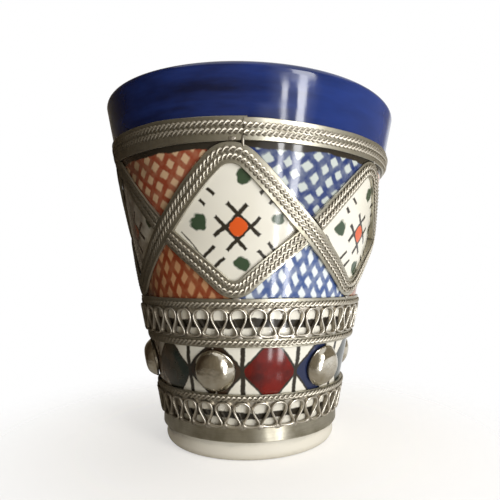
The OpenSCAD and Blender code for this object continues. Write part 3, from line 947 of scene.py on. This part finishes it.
# Burnished round and round, so light stretches upright on it
skirt_metal = rolled_strip("burnished_nickel_silver", 0.32, 0.4, 0.08, False)
shader = skirt_metal.node_tree.nodes["Principled BSDF"]
tangent = add(skirt_metal.node_tree, "Tangent", [], direction_type="RADIAL", axis="Z")
skirt_metal.node_tree.links.new(tangent, shader.inputs["Tangent"])
shader.inputs["Anisotropic"].default_value = 0.85
shader.inputs["Anisotropic Rotation"].default_value = 0.25
lay_strip("skirt_strip", "base_skirt", skirt_line, skirt_w, skirt_metal, rise=skirt_rise, seat=0.0)
base_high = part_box("base_rail")[0].z / mm
scroll("base_ribbon", "base_scroll", skirt_high, base_high, loops=36, first=2.35, seed=8)


# Six bosses: thin domes stamped from sheet, polished, and held between the galleries by a bead of solder
# above and below. They stand close to the cup's wall with their hollow backs to it.
bosses = 6
boss_d = 10.8
brim_w = 0.2
dome_flat = 4.0
boss_h = 2.8
brim_rise = 0.6
boss_t = 0.45
boss_turn = -11.5
bead_d = 0.4
boss_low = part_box("base_rail")[1].z / mm
boss_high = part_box("gallery_bottom_rail")[0].z / mm
boss_z = (boss_low + boss_high) / 2


# Polished nickel silver: near mirror-bright on the crown and hazed by handling; painted darker round its
# foot, as painted shade where the dome meets the wall.
boss_metal, tree, shader = new_surface("polished_nickel_silver")
place = in_mm(tree)
crest = marked(tree, "crest")
haze = patches(tree, place, 2.5, 4.0)
haze = ranged(tree, haze, 0.35, 0.7)
metal = mix(tree, haze, linear("#dcd6c8"), linear("#c2b9a6"))
# Painted shade: darker round the foot of the dome, where it meets the wall
foot = ranged(tree, crest, 0.12, 0.0, 0.0, 0.8)
metal = mix(tree, foot, metal, linear("#6a6152"))
rough = ranged(tree, haze, 0.0, 1.0, 0.08, 0.24)
bare_metal(tree, shader, metal, rough)
dents = patches(tree, place, 1.7, 1.0)
dents = add(tree, "Bump", {"Strength": 0.7, "Distance": 0.2 * mm, "Height": dents})
tree.links.new(dents, shader.inputs["Normal"])

boss_r = boss_d / 2
reach = np.sin(np.linspace(0.01, math.pi / 2, 30))[:, None]
crown_up = boss_h - (boss_h - brim_rise) * reach ** dome_flat
crown = np.concatenate([reach * (boss_r - brim_w), crown_up], axis=1)
hollow = np.maximum(crown[::-1] - (0, boss_t), 0)
dome = np.concatenate([crown, [(boss_r, boss_t), (boss_r, 0.0)], hollow])
dome_around = np.linspace(0, 2 * math.pi, 64, endpoint=False)
across = dome[:, :1] * np.cos(dome_around)
up = dome[:, :1] * np.sin(dome_around)
# The foot of the dome is bent to the round of the wall
out = dome[:, 1:] - (1 - dome[:, 1:] / boss_h) * across ** 2 / (2 * wall_r(boss_z))
for number in range(1, bosses + 1):
    rows = stand(boss_turn + (number - 1) * 360 / bosses, boss_z, across, up, out)
    piece(f"boss_dome_{number}", [rows], boss_metal, "holder", "polished_boss",
          [f"boss_{number}"], crest=[out / boss_h])

beads = []
for number in range(bosses):
    for z in (boss_low + solder_gap + bead_d / 2, boss_high - solder_gap - bead_d / 2):
        turn = boss_turn + number * 360 / bosses
        beads.append(lump(turn, z, bead_d * 1.15, bead_d, bead_d, 0.0, chance))
piece("boss_solder", beads, solder, "holder", "solder", ["boss_beads"], crease=80)

# Spots of solder at the bends of the zigzag and the vees
spots = []
for number in range(lozenges):
    for z in (collar_low + 0.1, lattice_low - 0.1):
        turn = number * lozenge_turn + chance.uniform(-1.5, 1.5)
        spots.append(lump(turn, z, chance.uniform(1.6, 2.6), 0.9, 0.35, strip_t - 0.1, chance))
piece("joint_solder", spots, solder, "holder", "solder", crease=80)


# The stage: a pale floor that fades out to white, and dark cards beside the cup for the metal to reflect.
# A tall window of two panes, with a wider one above, stands in front to the right, in a white room.
floor_r = 900.0
floor_z = -0.02
card_r = 520.0
card_hem = 8.0


def stage_sheet(name, rows, surface):
    """A sheet of the stage from a grid of points, in millimetres."""
    grid = np.arange(rows.shape[0] * rows.shape[1]).reshape(rows.shape[:2])
    quads = np.stack([grid[:-1, :-1], grid[:-1, 1:], grid[1:, 1:], grid[1:, :-1]], axis=-1)
    mesh = bpy.data.meshes.new(name)
    mesh.from_pydata((rows.reshape(-1, 3) * mm).tolist(), [], quads.reshape(-1, 4).tolist())
    mesh.materials.append(surface)
    made = bpy.data.objects.new(name, mesh)
    bpy.context.collection.objects.link(made)
    return made


paper, tree, shader = new_surface("matt_white_paper")
shader.inputs["Base Color"].default_value = linear("#d0ccc4")
shader.inputs["Emission Color"].default_value = (1.0, 1.0, 1.0, 1.0)
shader.inputs["Roughness"].default_value = 0.9
shader.inputs["Specular IOR Level"].default_value = 0.1
away = measure(tree, "LENGTH", in_mm(tree))
fade = add(tree, "MapRange", [away, 32.0, 100.0, 0.0, 1.0], interpolation_type="SMOOTHSTEP")
glow = add(tree, "LightPath", []).node.outputs["Is Camera Ray"]
glow = calculate(tree, "MULTIPLY", glow, 0.56)
tree.links.new(glow, shader.inputs["Emission Strength"])
clear = add(tree, "BsdfTransparent", [])
faded = add(tree, "MixShader", [fade, shader.outputs[0], clear])
tree.links.new(faded, tree.nodes["Material Output"].inputs["Surface"])
floor_x, floor_y = np.meshgrid((-floor_r, floor_r), (-floor_r, floor_r))
stage_sheet("studio_floor", np.stack([floor_x, floor_y, np.full((2, 2), floor_z)], axis=-1), paper)

cloth, tree, shader = new_surface("brown_cloth")
x = add(tree, "SeparateXYZ", [in_mm(tree)])
deep = ranged(tree, x, 0.0, -card_r)
brown = mix(tree, deep, linear("#b3aa98"), linear("#40352a"))
tree.links.new(brown, shader.inputs["Base Color"])
shader.inputs["Roughness"].default_value = 1.0
shader.inputs["Specular IOR Level"].default_value = 0.0
hem = marked(tree, "hem")
clear = add(tree, "BsdfTransparent", [])
thin = add(tree, "MixShader", [hem, clear, shader.outputs[0]])
tree.links.new(thin, tree.nodes["Material Output"].inputs["Surface"])
low_card = (16.0, -174.0, ((30.0, -520.0), (card_r, -520.0), (card_r, 65.0)))
left_card = (25.0, -174.0, ((card_r, 65.0), (card_r, 950.0)))
right_card = (46.0, 148.0, ((card_r, 40.0), (card_r, 620.0)))
for card_from, card_to, outline in (low_card, left_card, right_card):
    card_turn = np.linspace(card_from, card_to, 60)
    a = np.radians(card_turn)
    card_rows = [np.stack([r * np.sin(a), -r * np.cos(a), 0 * a + z], axis=-1) for r, z in outline]
    card = stage_sheet("dark_card", np.array(card_rows), cloth)
    card.visible_camera = False
    # Its upright edges thin out, so that they leave no hard line in the glaze
    soft = np.minimum(abs(card_turn - card_from), abs(card_turn - card_to)) / card_hem
    soft = np.tile(np.clip(soft, 0, 1), len(outline)).astype(np.float32)
    card.data.attributes.new("hem", "FLOAT", "POINT").data.foreach_set("value", soft)

pane_away = 450.0
window_turn = 36.0
window_watts = 3.93e-5
# Each pane: how far to the right, width, height, height of its middle, and how clear it is
left_pane = (-57.0, 30.0, 350.0, -75.0, 1.0)
right_pane = (43.0, 48.0, 362.0, -69.0, 1.1)
upper_pane = (46.0, 135.0, 238.0, 231.0, 0.65)
for off, pane_w, pane_h, pane_z, clear_share in (left_pane, right_pane, upper_pane):
    pane = bpy.data.lights.new("window_pane", "AREA")
    pane.shape = "RECTANGLE"
    pane.size = pane_w * mm
    pane.size_y = pane_h * mm
    pane.energy = window_watts * pane_w * pane_h * clear_share
    hung = bpy.data.objects.new("window_pane", pane)
    bpy.context.collection.objects.link(hung)
    a = math.radians(window_turn)
    hung.location = ((pane_away * math.sin(a) + off * math.cos(a)) * mm,
                     (-pane_away * math.cos(a) + off * math.sin(a)) * mm, pane_z * mm)
    hung.rotation_euler = (math.radians(90), 0.0, a)
    hung.visible_camera = False

world = bpy.data.worlds.new("white_room")
bpy.context.scene.world = world
world.use_nodes = True
tree = world.node_tree
background = tree.nodes["Background"]
background.inputs["Color"].default_value = (1.0, 1.0, 1.0, 1.0)
# White where the camera sees it, dimmer as light
seen = add(tree, "LightPath", []).node.outputs["Is Camera Ray"]
seen = ranged(tree, seen, 0.0, 1.0, 0.9, 1.0)
tree.links.new(seen, background.inputs["Strength"])

camera_away = 141.5
camera_z = 46.7
camera_turn = 7.0
camera_aside = 3.4
camera_pitch = 93.24
camera_data = bpy.data.cameras.new("camera")
camera_data.sensor_width = 36.0
camera_data.lens = 32.86
camera_data.clip_start = 10 * mm
# The photograph was cut from one side of a wider view, so the lens looks past the cup and is shifted back
camera_data.shift_x = -0.0568
camera = bpy.data.objects.new("camera", camera_data)
bpy.context.collection.objects.link(camera)
a = math.radians(camera_turn)
camera.location = (camera_away * math.sin(a) * mm, -camera_away * math.cos(a) * mm, camera_z * mm)
camera.rotation_euler = (math.radians(camera_pitch), 0.0, math.radians(camera_turn - camera_aside))
bpy.context.scene.camera = camera
bpy.context.scene.view_settings.view_transform = "Standard"
